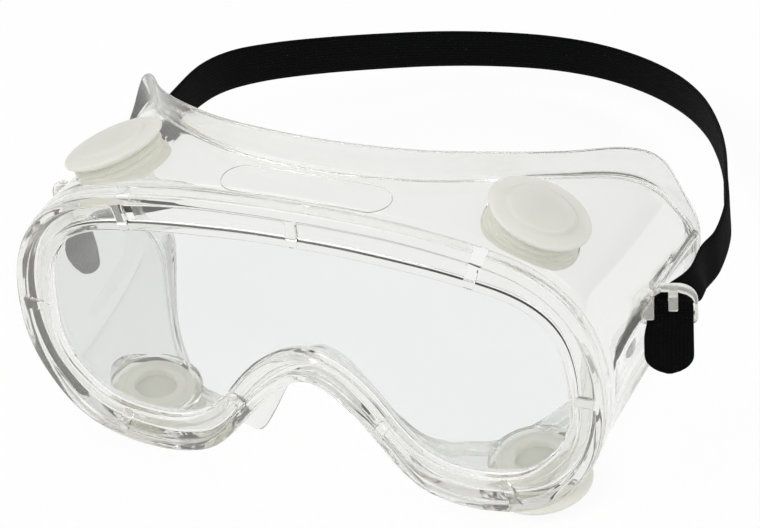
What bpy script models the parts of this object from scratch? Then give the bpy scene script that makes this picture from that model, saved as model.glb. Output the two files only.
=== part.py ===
"""Chemical-splash safety goggles: clear soft frame, flat lens, four capped indirect vents, elastic strap.

World frame in metres: +Z up, -Y out of the front of the lens, +X to the viewer's right when facing
the front. The origin is on the front face of the lens, at the middle of the bezel's width and height.
"Right" and "left" mean the +X and -X sides. Lengths below are in millimetres and are turned to metres
when a mesh is written.
"""

import math
from typing import NamedTuple

import bmesh
import bpy
from mathutils import Matrix, Vector

MM = 0.001
X_AXIS, Y_AXIS, Z_AXIS = Vector((1, 0, 0)), Vector((0, 1, 0)), Vector((0, 0, 1))
SIDES = (("left", -1), ("right", 1))
SHARP_ANGLE = 40        # degrees; steeper edges stay sharp under smooth shading
FIT_GAP = 0.3           # clearance between touching pieces

# ---- lens and frame body dimensions -------------------------------------------------------------
LENS_T = 2.0            # lens thickness; its front face is y = 0
LENS_IN_GROOVE = 3.6    # how far the lens edge reaches behind the front lip
LENS_STEP = 0.4         # the edge of the lens is stepped back by this much behind the lip
LENS_SHARP_ANGLE = 30

BODY_STEPS = 2          # stations per row of the outline table
BAND_FLOOR = -1.2       # y of the flat between the two beads
WALL = 2.2              # side wall thickness
WALL_FRONT_Y = 5.0      # where the outer face of the side wall starts
INNER_FRONT = (WALL + 0.6, 6.0)     # front of the wall's inner face: (distance in from edge, y)
BACK_CHAMFER = (WALL + 1.6, 4.4)    # back of the bezel beside it, measured the same way
GROOVE_FLOOR = LENS_IN_GROOVE + FIT_GAP
GROOVE_BACK_Y = LENS_T + FIT_GAP
BACK_LIP_IN, BACK_LIP_Y = 0.6, 3.6  # lip behind the lens: set back from the opening, and its rear y

# Outer side and outer bead: (distance in from the bezel edge, y).
OUTER_BEAD = ((0.0, 1.5), (0.0, -0.9), (0.6, -1.9), (1.6, -2.3), (2.6, -1.9), (3.2, BAND_FLOOR))
# Inner bead, then the groove that holds the lens: (distance back from the opening, y).
INNER_BEAD = (
    (2.7, BAND_FLOOR), (2.1, -1.8), (1.3, -2.0), (0.4, -1.6), (0.0, -0.8),
    (0.0, -FIT_GAP), (GROOVE_FLOOR, -FIT_GAP), (GROOVE_FLOOR, GROOVE_BACK_Y),
    (BACK_LIP_IN, GROOVE_BACK_Y), (BACK_LIP_IN, BACK_LIP_Y),
)

# The crease is where the side wall turns out into the face flange. These y values are from it.
INNER_CREASE_Y = -1.2   # rear end of the wall's inner face
REAR_LIP_Y = (-0.4, 0.7)
OUTER_CREASE_Y = -0.2
FLANGE_T = 1.5          # face flange thickness at the crease
FLANGE_ROOT_IN = 0.4    # its rear face starts this far inside the crease
FLANGE_TIP_HALF = FLANGE_T * 0.35

# The side walls dip in behind the bezel to make room for the lugs.
RECESS, RECESS_Z, RECESS_SPAN = 4.2, -7.0, 15.0     # depth, middle height and fall-off
RECESS_MIN_X = 60       # only bezel edges farther out than this are recessed
SIDE_STEPS = ((0.22, 0.75), (0.45, 1.0), (0.70, 0.75))  # (share of way to crease, share of recess)

# Right half of the frame, from the middle of the brow round to the nose. Columns: bezel edge (x, z),
# lens opening (x, z), rear crease (x, y, z), face flange (dx, dy, dz), lip turned in at the rear.
OUTLINE = (
    ((0.0, 43.3), (0.0, 31.8), (0.0, 19.5, 42.3), (0.0, 1.5, 7.2), 0.3),
    ((13.0, 43.1), (12.5, 31.6), (13.5, 20.3, 42.3), (0.0, 1.5, 7.0), 0.3),
    ((26.0, 42.5), (25.0, 30.8), (27.5, 23.0, 42.0), (0.0, 1.2, 6.8), 0.3),
    ((39.0, 41.0), (37.0, 29.7), (41.6, 30.5, 39.8), (0.2, 0.8, 6.5), 0.3),
    ((50.0, 39.0), (47.0, 28.2), (54.5, 43.5, 33.6), (0.7, 1.2, 6.3), 0.3),
    ((59.0, 36.3), (54.5, 26.6), (65.0, 59.5, 24.6), (1.0, 1.4, 7.6), 0.3),
    ((66.5, 32.0), (60.5, 24.0), (71.6, 67.6, 17.0), (1.4, 0.8, 8.2), 0.4),
    ((72.5, 26.0), (65.0, 20.2), (76.9, 70.5, 9.6), (1.0, 0.6, 4.4), 0.8),
    ((77.0, 18.0), (68.0, 14.8), (81.0, 71.3, 2.6), (0.8, 0.7, 1.4), 1.8),
    ((79.6, 8.0), (69.7, 7.0), (81.6, 70.6, -5.5), (0.6, 0.7, 0.3), 3.0),
    ((80.0, -2.0), (70.1, -2.0), (81.6, 70.0, -12.0), (0.6, 0.7, -0.3), 4.0),
    ((79.0, -11.0), (69.7, -9.5), (81.0, 69.6, -18.5), (0.8, 0.7, -0.5), 4.8),
    ((76.0, -20.5), (67.2, -17.0), (78.3, 69.0, -25.0), (1.6, 0.7, -1.0), 5.0),
    ((70.5, -30.0), (62.5, -23.3), (72.8, 66.5, -31.8), (1.4, 0.7, -1.6), 4.6),
    ((64.0, -36.5), (57.5, -27.5), (65.3, 53.0, -37.2), (1.1, 0.7, -2.0), 3.8),
    ((56.0, -40.2), (51.5, -29.8), (56.8, 38.5, -40.4), (0.8, 0.7, -2.2), 3.0),
    ((48.0, -41.8), (45.5, -30.6), (48.3, 28.0, -42.2), (0.4, 0.7, -2.3), 2.4),
    ((41.0, -42.0), (40.0, -30.5), (41.2, 21.5, -42.2), (0.0, 0.7, -2.3), 2.0),
    ((34.5, -40.8), (35.5, -29.5), (34.4, 18.5, -41.0), (-1.0, 0.7, -3.0), 1.6),
    ((29.0, -38.5), (31.8, -27.8), (28.8, 15.0, -38.4), (-1.8, 0.9, -5.4), 1.2),
    ((23.8, -33.8), (28.0, -25.0), (23.3, 11.5, -33.5), (-2.6, 1.0, -7.6), 0.8),
    ((18.5, -27.0), (23.5, -20.0), (18.0, 9.5, -26.6), (-3.2, 0.9, -4.2), 0.5),
    ((13.5, -20.4), (18.8, -13.4), (13.0, 9.5, -20.0), (-2.4, 0.7, -1.9), 0.4),
    ((9.0, -15.6), (13.6, -7.6), (8.7, 10.0, -15.2), (-1.8, 0.7, -2.2), 0.3),
    ((4.6, -12.0), (7.4, -3.1), (4.5, 10.8, -11.7), (-1.0, 0.7, -2.4), 0.3),
    ((0.0, -10.5), (0.0, -1.0), (0.0, 11.5, -10.2), (0.0, 0.7, -2.5), 0.3),
)
OUTLINE_MIRROR = (-1, 1, -1, 1, -1, 1, 1, -1, 1, 1, 1)   # factors that mirror a flattened row in x

# Cross ribs on the bezel band: (x, z) near which each rib sits.
RIBS = ((0.0, 43.0), (48.0, 39.4), (-48.0, 39.4), (80.0, 0.0), (-80.0, 0.0),
        (56.0, -40.2), (-56.0, -40.2), (16.6, -24.5), (-16.6, -24.5))
RIB_W = 3.0
RIB_CREST_SHARE = 0.75  # crest width as a share of the base width
RIB_BASE_Y, RIB_CREST_Y = -0.7, -2.15
RIB_EDGE_MARGIN, RIB_OPENING_MARGIN = 1.5, 0.9      # distances kept from bezel edge and opening
RIB_STEPS = 8           # finer stations per outline row, used to place the ribs

# ---- vent dimensions: heights are along the vent's axis, from the boss's outer face ---------------
VENT_SEG = 40
VENT_FLANGE_R = 10.6
VENT_NECK_R = 8.3
VENT_BORE_R = 5.8
VENT_STEM_R = 2.0
VENT_RIM_R = 13.6       # cap rim radius
VENT_RIM_H = 5.0        # height of the cap's rim plane
BOSS_T, BOSS_R = 4.4, 12.6
SEAT_T = 2.0            # wall left outside the counterbore, which the vent base clips round
SEAT_OVERLAP = 0.07     # the seat cuts reach this far into the boss
# Rim centre and outward axis of the right-hand vents. The left ones mirror them.
VENT_PLACES = (
    ("top", (57.5, 19.5, 39.0), (0.38, 0.09, 0.92)),
    ("bottom", (54.6, 18.6, -46.6), (0.10, 0.03, -1.0)),
)
# Cylinders worked on the body at each vent, in order: (name, operation, radius, low, high).
VENT_CYLINDERS = (
    ("seat_out", "DIFFERENCE", 12.3, -SEAT_OVERLAP, 9),
    ("seat_in", "DIFFERENCE", 12.2, -12, SEAT_OVERLAP - BOSS_T),
    ("boss", "UNION", BOSS_R, -BOSS_T, 0),
    ("counterbore", "DIFFERENCE", VENT_FLANGE_R + 0.35, -14, -SEAT_T),
    ("bore", "DIFFERENCE", VENT_NECK_R + FIT_GAP, -14, 10),
)
# Turned profiles: (radius, height).
VENT_BASE_PROFILE = (
    (VENT_BORE_R, -SEAT_T - 2.6), (VENT_NECK_R + 1.2, -SEAT_T - 2.6),
    (VENT_FLANGE_R - 0.4, -SEAT_T - 1.7), (VENT_FLANGE_R, -SEAT_T - 1.2),
    (VENT_FLANGE_R, -SEAT_T - FIT_GAP), (VENT_NECK_R, -SEAT_T - FIT_GAP), (VENT_NECK_R, FIT_GAP),
    (11.4, FIT_GAP), (12.0, 0.8), (12.0, 1.7), (11.4, 2.1), (10.4, 2.4), (10.4, 2.8),
    (VENT_BORE_R, 2.8),
)
VENT_CAP_PROFILE = (
    (0, -1.6), (VENT_STEM_R - 0.5, -1.6), (VENT_STEM_R, -1.0), (VENT_STEM_R, 3.1), (10.6, 3.1),
    (11.9, 3.5), (12.6, VENT_RIM_H - 0.9), (VENT_RIM_R - 0.3, VENT_RIM_H - 0.5),
    (VENT_RIM_R, VENT_RIM_H), (VENT_RIM_R - 0.4, VENT_RIM_H + 0.4), (9.4, VENT_RIM_H + 0.8),
    (8.7, VENT_RIM_H + 1.6), (0, VENT_RIM_H + 1.6),
)
HUB_SEG = 24
HUB_INNER_R, HUB_OUTER_R = VENT_STEM_R + 0.15, VENT_STEM_R + 1.5
HUB_HEIGHTS = (0.2, 2.2)
SPOKES = 3
SPOKE_INNER_R, SPOKE_OUTER_R = VENT_STEM_R + 0.9, VENT_BORE_R + 1.0    # run into hub and base
SPOKE_HALF_W = 0.8
SPOKE_HEIGHTS = (0.4, 2.0)

# ---- strap lug: a slotted plate standing on the side wall (right-hand one) --------------------------
LUG_CENTRE = Vector((83.6, 38.5, -0.4))
LUG_LONG = Vector((0.96, 0.28, 0.0)).normalized()       # along the plate, away from the wall
LUG_NORMAL = Vector((0.28, -0.96, 0.0)).normalized()    # out of the plate's front face
LUG_PLATE_DEPTHS = (-2.8, -1.0)     # along the normal
LUG_SLOT_DEPTHS = (-6.0, 3.0)
LUG_SLOT = ((-6.7, -1.6), (6.7, -1.6), (6.7, 2.2), (4.8, 4.6), (2.4, 5.7), (-1.8, 5.8),
            (-6.7, 2.0))            # (along the plate, z)
# Two fingers turned down in front of the strap. Outlines are (along the normal, z).
LUG_FINGERS = (
    ("lug_finger", ((-1.9, 5.6), (-1.9, 7.2), (1.6, 8.2), (2.6, 7.6), (2.6, 2.2), (1.2, 2.2),
                    (1.2, 6.2)), (0.1, 2.5)),
    ("lug_foot", ((-1.9, 3.0), (-1.9, 4.4), (2.4, 2.6), (2.4, -0.7), (1.2, -0.7), (1.2, 1.5)),
     (-6.4, -3.6)),
)
FIN_FRONT, FIN_REAR = (76.6, 39.4, 5.8), (79.5, 70.0, 2.2)
FIN_FRONT_W, FIN_REAR_W, FIN_HALF_T = 4.2, 3.0, 0.9

# ---- strap dimensions -------------------------------------------------------------------------------
STRAP_HALF_W = 12.7 / 2
STRAP_T = 1.3
STRAP_STEPS = 4         # sections per row of edge points
STRAP_DOWN = Vector((0.0, 0.075, -1.0)).normalized()    # from upper edge to lower edge
# Worn centre line (x, y, z) from the right, round the back, to the left. It isn't quite symmetric.
STRAP_LOOP = (
    (85.3, 64.0, -4.2), (86.3, 74.0, -5.4), (84.8, 88.5, -6.0), (80.3, 102.5, -7.0),
    (74.6, 121.0, -12.2), (67.2, 140.0, -18.0), (58.0, 158.0, -23.2), (46.4, 173.5, -27.8),
    (32.0, 185.5, -31.4), (16.0, 192.5, -33.4), (0.0, 194.0, -33.9), (-16.0, 190.5, -32.9),
    (-32.0, 183.0, -30.6), (-47.5, 172.5, -27.5), (-61.5, 161.0, -24.1), (-73.0, 149.0, -20.6),
    (-80.2, 136.0, -16.7), (-82.6, 121.0, -12.6), (-82.4, 104.0, -9.6), (-83.2, 88.5, -9.2),
    (-85.3, 75.0, -7.6), (-86.4, 64.0, -5.2),
)
# How far in x the lower edge stands out beyond the upper one, extra, at the first points.
STRAP_LEAN = (1.6, 2.0, 2.1, 0.7)
TAIL_LEN = 19.3         # the tail hangs this far below the lug's centre
# Tail and turn over the bar, in the lug's frame: (along the normal, z, inner edge drawn in by).
TAIL_ROWS = ((0.0, -TAIL_LEN, 0.0), (0.0, -12.5, 0.0), (0.0, -7.5, 0.1), (0.0, -3.6, 0.75),
             (-0.25, -1.3, 0.75), (-1.0, -0.25, 0.4), (-1.9, 0.25, 0.2))
# Just behind the lug, in the lug's frame: outer and inner edge (along the plate, normal, z).
BEHIND_LUG = ((6.3, -3.6, 0.4), (-5.4, -3.6, 1.4))
# Twisting upright behind it: outer edge, which becomes the lower one, and inner edge (x, y, z).
TWIST_ROWS = (((88.8, 49.0, -3.2), (81.6, 43.6, 4.2)), ((88.0, 56.0, -5.4), (85.2, 51.6, 4.4)))
TAIL_TIP_SECTIONS = 3   # sections that narrow into the rounded tip
TIP_START_ANGLE = 30    # degrees; its sine is the width share at the very end
BAND_OVERLAP = 2 * STRAP_STEPS + 2  # sections by which the band starts before the worn loop
TAIL_OVERLAP = 2                    # sections by which the tails run into the worn loop

# The strap swings on an X axis through the two places where it leaves the lugs.
SWING = Vector((0.0, 44.5, 0.8))
SWING_R = 7.9           # radius at which the threaded end stops and the swinging band starts
SWING_CLEARANCE = 0.15  # taken off each of them
SWING_SEG = 96
TRIM_HALF_X = 120       # half length of both trimming tools
TRIM_BACK, TRIM_HALF_Z = 30.0, 20.0


# ---- helpers ----------------------------------------------------------------------------------------
def make_material(name, colour, roughness):
    mat = bpy.data.materials.new(name)
    mat.use_nodes = True
    shader = mat.node_tree.nodes["Principled BSDF"]
    shader.inputs["Base Color"].default_value = (*colour, 1.0)
    shader.inputs["Roughness"].default_value = roughness
    mat.diffuse_color = (*colour, 1.0)
    return mat


def make(name, verts, faces, mat=None, sharp_angle=None, pivot=None, turn=None):
    """New object, with verts relative to the pivot (default: the world origin) and turned by turn.

    With a material it is a visible piece under the root; without one, a hidden boolean tool.
    """
    mesh = bpy.data.meshes.new(name)
    bm = bmesh.new()
    corners = [bm.verts.new(Vector(v) * MM) for v in verts]
    for face in faces:
        bm.faces.new([corners[i] for i in face])
    bmesh.ops.recalc_face_normals(bm, faces=bm.faces[:])
    if bm.calc_volume(signed=True) < 0:
        bmesh.ops.reverse_faces(bm, faces=bm.faces[:])
    bm.to_mesh(mesh)
    bm.free()
    obj = bpy.data.objects.new(name, mesh)
    bpy.context.scene.collection.objects.link(obj)
    if pivot is not None:
        obj.location = Vector(pivot) * MM
    if turn is not None:
        obj.rotation_euler = turn.to_euler()
    if sharp_angle is not None:
        mesh.shade_smooth()
        mesh.set_sharp_from_angle(angle=math.radians(sharp_angle))
    if mat:
        obj.parent = ROOT
        mesh.materials.append(mat)
    else:
        obj.hide_render = True
        obj.display_type = "WIRE"
    return obj


def boolean(target, tool, operation, solver="MANIFOLD"):
    mod = target.modifiers.new(tool.name, "BOOLEAN")
    mod.operation = operation
    mod.solver = solver
    mod.object = tool


def catmull(p0, p1, p2, p3, t):
    """Point at share t of the way from p1 to p2 on a Catmull-Rom curve."""
    return tuple(
        0.5 * (2 * b + (c - a) * t + (2 * a - 5 * b + 4 * c - d) * t * t
               + (3 * b - a - 3 * c + d) * t ** 3)
        for a, b, c, d in zip(p0, p1, p2, p3)
    )


def mirror_x(point, side):
    return Vector((point[0] * side, point[1], point[2]))


def arc(centre_x, centre_y, radius, start, end, steps):
    """Points of an arc, with start and end in degrees."""
    angles = [math.radians(start + (end - start) * k / steps) for k in range(steps + 1)]
    return [(centre_x + radius * math.cos(a), centre_y + radius * math.sin(a)) for a in angles]


def grid_faces(rows, columns):
    """Quads of a grid closed both ways."""
    return [
        (i * columns + j, i * columns + (j + 1) % columns,
         ((i + 1) % rows) * columns + (j + 1) % columns, ((i + 1) % rows) * columns + j)
        for i in range(rows) for j in range(columns)
    ]


def frame_of(axis):
    """Matrix whose Z is the axis."""
    z = Vector(axis).normalized()
    x = Y_AXIS.cross(z).normalized()
    y = z.cross(x)
    return Matrix((x, y, z)).transposed()


def lathe(name, profile, origin, axis, seg, mat=None):
    """Turned solid from (radius, height) points.

    A radius 0 end closes on the axis; a profile that never reaches the axis is closed into a ring.
    """
    on_axis = 1e-6
    verts, rings = [], []
    for radius, height in profile:
        if radius < on_axis:
            rings.append([len(verts)] * seg)
            verts.append(Vector((0, 0, height)))
            continue
        rings.append(list(range(len(verts), len(verts) + seg)))
        for k in range(seg):
            angle = 2 * math.pi * k / seg
            verts.append(Vector((radius * math.cos(angle), radius * math.sin(angle), height)))
    is_ring = all(radius > on_axis for radius, _ in profile)
    faces = []
    for i in range(len(profile) if is_ring else len(profile) - 1):
        low, high = rings[i], rings[(i + 1) % len(profile)]
        for k in range(seg):
            after = (k + 1) % seg
            face = list(dict.fromkeys((low[k], low[after], high[after], high[k])))
            if len(face) > 2:
                faces.append(face)
    return make(name, verts, faces, mat, SHARP_ANGLE, origin, frame_of(axis))


def cylinder(name, radius, low, high, origin, axis, seg):
    """Hidden cylinder between two heights on the axis."""
    return lathe(name, [(0, low), (radius, low), (radius, high), (0, high)], origin, axis, seg)


def slab(name, outline, depths, origin, across, up, along):
    """Hidden prism: outline in (across, up), carried between two depths along the third direction."""
    n = len(outline)
    verts = [origin + across * a + up * b + along * depth for depth in depths for a, b in outline]
    faces = [tuple(range(n)), tuple(range(2 * n - 1, n - 1, -1))]
    faces += [(i, (i + 1) % n, n + (i + 1) % n, n + i) for i in range(n)]
    return make(name, verts, faces)


# ---- stations round the frame -------------------------------------------------------------------------
class Station(NamedTuple):
    """One cross-section of the frame."""
    edge: Vector
    opening: Vector
    crease: Vector
    flange: Vector
    lip: float

    @property
    def inward(self):
        return (self.opening - self.edge).normalized()

    @property
    def width(self):
        return (self.opening - self.edge).length

    def at(self, distance, y):
        """Point this far in from the bezel edge, at this y."""
        return self.edge + self.inward * distance + Y_AXIS * y


def stations(steps):
    """The closed loop of stations, smoothly interpolated with this many per outline row."""
    right = [(*edge, *opening, *crease, *flange, lip) for edge, opening, crease, flange, lip in OUTLINE]
    left = [tuple(v * s for v, s in zip(row, OUTLINE_MIRROR)) for row in right[-2:0:-1]]
    loop = right + left
    n = len(loop)
    result = []
    for i in range(n):
        for k in range(steps):
            row = catmull(loop[i - 1], loop[i], loop[(i + 1) % n], loop[(i + 2) % n], k / steps)
            edge, opening = Vector((row[0], 0, row[1])), Vector((row[2], 0, row[3]))
            result.append(Station(edge, opening, Vector(row[4:7]), Vector(row[7:10]), row[10]))
    return result


# ---- frame body ---------------------------------------------------------------------------------------
def body_section(station, tangent):
    """Closed section of the body at a station; tangent follows the crease there."""
    inward, width, crease = station.inward, station.width, station.crease
    rear_in = Vector((tangent.z, 0.0, -tangent.x)).normalized()
    if rear_in.dot(inward) < 0:
        rear_in = -rear_in

    def by_crease(distance, y):
        return crease + rear_in * distance + Y_AXIS * y

    recess = 0.0
    if abs(station.edge.x) > RECESS_MIN_X:
        recess = RECESS * math.exp(-((station.edge.z - RECESS_Z) / RECESS_SPAN) ** 4)

    def wall(front, rear):
        return [front.lerp(rear, share) + inward * recess * dip for share, dip in SIDE_STEPS]

    outer_front = station.at(0.0, WALL_FRONT_Y)
    inner_front = station.at(*INNER_FRONT)
    inner_rear = by_crease(WALL, INNER_CREASE_Y)
    return [
        *(station.at(distance, y) for distance, y in OUTER_BEAD),
        *(station.at(width - distance, y) for distance, y in INNER_BEAD),
        station.at(*BACK_CHAMFER), inner_front, *wall(inner_front, inner_rear), inner_rear,
        *(by_crease(WALL + station.lip, y) for y in REAR_LIP_Y),
        by_crease(FLANGE_ROOT_IN, FLANGE_T),
        crease + station.flange + Y_AXIS * FLANGE_TIP_HALF,
        crease + station.flange - Y_AXIS * FLANGE_TIP_HALF,
        by_crease(0.0, OUTER_CREASE_Y),
        *reversed(wall(outer_front, crease)), outer_front,
    ]


def build_body():
    loop = stations(BODY_STEPS)
    sections = [
        body_section(station, loop[(i + 1) % len(loop)].crease - loop[i - 1].crease)
        for i, station in enumerate(loop)
    ]
    verts = [point for section in sections for point in section]
    faces = grid_faces(len(sections), len(sections[0]))
    return make("frame_body", verts, faces, CLEAR, SHARP_ANGLE)


def add_ribs(body):
    """Cross ribs between the beads, each a block that narrows to its crest."""
    block_faces = ((0, 1, 3, 2), (4, 6, 7, 5), (0, 4, 5, 1), (2, 3, 7, 6), (0, 2, 6, 4), (1, 5, 7, 3))
    loop = stations(RIB_STEPS)
    verts, faces = [], []
    for x, z in RIBS:
        near = min(range(len(loop)),
                   key=lambda i: (loop[i].edge.x - x) ** 2 + (loop[i].edge.z - z) ** 2)
        station = loop[near]
        along = loop[(near + 1) % len(loop)].edge - station.edge
        along = (along - station.inward * along.dot(station.inward)).normalized()
        base = len(verts)
        for distance in (RIB_EDGE_MARGIN, station.width - RIB_OPENING_MARGIN):
            for offset in (-RIB_W / 2, RIB_W / 2):
                for y, share in ((RIB_BASE_Y, 1.0), (RIB_CREST_Y, RIB_CREST_SHARE)):
                    verts.append(station.at(distance, y) + along * offset * share)
        faces += [tuple(base + k for k in face) for face in block_faces]
    boolean(body, make("rib_blocks", verts, faces), "UNION")


# ---- lens ---------------------------------------------------------------------------------------------
def build_lens():
    loop = stations(BODY_STEPS)
    face = [s.opening + s.inward * FIT_GAP for s in loop]
    rim = [s.opening - s.inward * LENS_IN_GROOVE for s in loop]
    n = len(loop)
    step = Y_AXIS * LENS_STEP
    verts = face + [p + step for p in face + rim] + [p + Y_AXIS * LENS_T for p in rim]
    faces = [tuple(range(n)), tuple(range(4 * n - 1, 3 * n - 1, -1))]
    faces += [
        (k * n + i, k * n + (i + 1) % n, k * n + n + (i + 1) % n, k * n + n + i)
        for k in range(3) for i in range(n)
    ]
    make("lens", verts, faces, LENS, LENS_SHARP_ANGLE)


# ---- vents --------------------------------------------------------------------------------------------
def vent_frames():
    """Name, centre of the boss's outer face and outward axis of each vent."""
    frames = []
    for level, rim_centre, direction in VENT_PLACES:
        for hand, side in SIDES:
            axis = mirror_x(direction, side).normalized()
            frames.append((f"{level}_{hand}", mirror_x(rim_centre, side) - axis * VENT_RIM_H, axis))
    return frames


def add_vent_seat(body, vent, origin, axis):
    """Clear the wall on both sides, add the boss and bore it."""
    for name, operation, radius, low, high in VENT_CYLINDERS:
        tool = cylinder(f"{name}_{vent}", radius, low, high, origin, axis, VENT_SEG)
        boolean(body, tool, operation)


def build_vent_base(vent, origin, axis):
    """Ring clipped round the seat, with a hub on spokes for the cap's stem."""
    base = lathe(f"vent_base_{vent}", VENT_BASE_PROFILE, origin, axis, VENT_SEG, MILKY)
    low, high = HUB_HEIGHTS
    hub_profile = [(HUB_INNER_R, low), (HUB_OUTER_R, low), (HUB_OUTER_R, high), (HUB_INNER_R, high)]
    boolean(base, lathe(f"hub_{vent}", hub_profile, origin, axis, HUB_SEG), "UNION", "EXACT")
    outline = [(SPOKE_INNER_R, -SPOKE_HALF_W), (SPOKE_OUTER_R, -SPOKE_HALF_W),
               (SPOKE_OUTER_R, SPOKE_HALF_W), (SPOKE_INNER_R, SPOKE_HALF_W)]
    turn = frame_of(axis)
    for k in range(SPOKES):
        angle = 2 * math.pi * k / SPOKES
        radial = turn @ Vector((math.cos(angle), math.sin(angle), 0))
        across = turn @ Vector((-math.sin(angle), math.cos(angle), 0))
        spoke = slab(f"spoke_{vent}_{k}", outline, SPOKE_HEIGHTS, origin, radial, across, axis)
        boolean(base, spoke, "UNION", "EXACT")


def build_vent_cap(vent, origin, axis):
    lathe(f"vent_cap_{vent}", VENT_CAP_PROFILE, origin, axis, VENT_SEG, CAP)


# ---- strap lugs, moulded with the frame -----------------------------------------------------------------
def add_lug(body, hand, side):
    centre, long, normal = (mirror_x(v, side) for v in (LUG_CENTRE, LUG_LONG, LUG_NORMAL))
    outline = [(-8.2, -4.6), *arc(5.7, -2.8, 1.8, -90, 0, 4), *arc(2.4, 2.4, 5.1, 0, 90, 7),
               (-2.2, 7.6), (-8.2, 0.8)]
    plate = slab(f"lug_plate_{hand}", outline, LUG_PLATE_DEPTHS, centre, long, Z_AXIS, normal)
    boolean(body, plate, "UNION")
    slot = slab(f"lug_slot_{hand}", LUG_SLOT, LUG_SLOT_DEPTHS, centre, long, Z_AXIS, normal)
    boolean(body, slot, "DIFFERENCE")
    for name, finger_outline, span in LUG_FINGERS:
        finger = slab(f"{name}_{hand}", finger_outline, span, centre, normal, Z_AXIS, long)
        boolean(body, finger, "UNION")


def add_lug_fin(body, hand, side):
    """Fin running back along the side wall from the lug to the crease."""
    front, rear = mirror_x(FIN_FRONT, side), mirror_x(FIN_REAR, side)
    length = (rear - front).length
    along = (rear - front).normalized()
    sideways = X_AXIS * side
    out = (sideways - along * along.dot(sideways)).normalized()
    outline = [(0.0, 0.0), (FIN_FRONT_W, 0.0), (FIN_REAR_W, length), (0.0, length)]
    thickness = (-FIN_HALF_T, FIN_HALF_T)
    fin = slab(f"lug_fin_{hand}", outline, thickness, front, out, along, out.cross(along))
    boolean(body, fin, "UNION")


# ---- strap: rows are pairs of edge points -----------------------------------------------------------------
def lug_point(along, normal, z):
    return LUG_CENTRE + LUG_LONG * along + LUG_NORMAL * normal + Z_AXIS * z


def threaded_rows():
    """Right-hand end as (outer, inner) edges: up the tail, over the bar, through the slot, twisting."""
    rows = [
        (lug_point(STRAP_HALF_W, normal, z), lug_point(drawn_in - STRAP_HALF_W, normal, z))
        for normal, z, drawn_in in TAIL_ROWS
    ]
    rows.append(tuple(lug_point(*point) for point in BEHIND_LUG))
    rows += [(Vector(outer), Vector(inner)) for outer, inner in TWIST_ROWS]
    return rows


def worn_rows():
    """The worn loop as (lower, upper) edges."""
    points = [Vector(p) for p in STRAP_LOOP]
    rows = []
    for i, point in enumerate(points):
        run = (points[min(i + 1, len(points) - 1)] - points[max(i - 1, 0)]).normalized()
        half = (STRAP_DOWN - run * STRAP_DOWN.dot(run)).normalized() * STRAP_HALF_W
        if i < len(STRAP_LEAN):
            half.x += STRAP_LEAN[i] / 2
        rows.append((point + half, point - half))
    return rows


def strap_line():
    """The whole strap from the right tail round to the left tail, smoothly interpolated."""
    end = threaded_rows()
    left_end = [(mirror_x(outer, -1), mirror_x(inner, -1)) for outer, inner in end[::-1]]
    rows = [(*first, *second) for first, second in end + worn_rows() + left_end]
    last = len(rows) - 1
    line = []
    for i in range(last):
        around = rows[max(i - 1, 0)], rows[i], rows[i + 1], rows[min(i + 2, last)]
        line += [catmull(*around, k / STRAP_STEPS) for k in range(STRAP_STEPS)]
    line.append(rows[-1])
    return [(Vector(row[:3]), Vector(row[3:])) for row in line]


def ribbon(name, line, pivot=(0.0, 0.0, 0.0), tip_sections=0):
    """Flat band between the two edges of line, its first tip_sections narrowed into a tip."""
    pivot = Vector(pivot)
    verts = []
    n = len(line)
    for i, (first, second) in enumerate(line):
        after, before = line[min(i + 1, n - 1)], line[max(i - 1, 0)]
        run = (after[0] + after[1] - before[0] - before[1]).normalized()
        middle, half = (first + second) / 2, (first - second) / 2
        normal = run.cross(half).normalized()
        if i < tip_sections:
            angle = TIP_START_ANGLE + (90 - TIP_START_ANGLE) * i / tip_sections
            half = half * math.sin(math.radians(angle))
        verts += [middle - pivot + half * a + normal * b * STRAP_T / 2
                  for a, b in ((-1, -1), (1, -1), (1, 1), (-1, 1))]
    faces = [
        (4 * i + j, 4 * i + (j + 1) % 4, 4 * i + 4 + (j + 1) % 4, 4 * i + 4 + j)
        for i in range(n - 1) for j in range(4)
    ]
    faces += [(0, 1, 2, 3), (4 * n - 1, 4 * n - 2, 4 * n - 3, 4 * n - 4)]
    return make(name, verts, faces, ELASTIC, SHARP_ANGLE, pivot=pivot)


def build_band(line, worn_start):
    """The swinging part, with its ends cut back to the swing radius."""
    first = worn_start - BAND_OVERLAP
    band = ribbon("strap_band", line[first:len(line) - first], SWING)
    drum = cylinder("swing_drum", SWING_R + SWING_CLEARANCE, -TRIM_HALF_X, TRIM_HALF_X,
                    SWING, X_AXIS, SWING_SEG)
    boolean(band, drum, "DIFFERENCE")


def build_tail(line, worn_start, hand, side):
    """Threaded end. Behind the swing axis only what lies inside the swing radius is kept."""
    end = [(mirror_x(outer, side), mirror_x(inner, side))
           for outer, inner in line[:worn_start + TAIL_OVERLAP]]
    tail = ribbon(f"strap_tail_{hand}", end, tip_sections=TAIL_TIP_SECTIONS)
    y, z = SWING.y, SWING.z
    outline = [(y, z - TRIM_HALF_Z), (y + TRIM_BACK, z - TRIM_HALF_Z),
               (y + TRIM_BACK, z + TRIM_HALF_Z), (y, z + TRIM_HALF_Z),
               *arc(y, z, SWING_R - SWING_CLEARANCE, 90, -90, 36)]
    trim = slab(f"tail_trim_{hand}", outline, (-TRIM_HALF_X, TRIM_HALF_X),
                Vector((0, 0, 0)), Y_AXIS, Z_AXIS, X_AXIS)
    boolean(tail, trim, "DIFFERENCE")


# ---- build --------------------------------------------------------------------------------------------
for old in list(bpy.data.objects):
    bpy.data.objects.remove(old)

ROOT = bpy.data.objects.new("goggles", None)
bpy.context.scene.collection.objects.link(ROOT)

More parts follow.
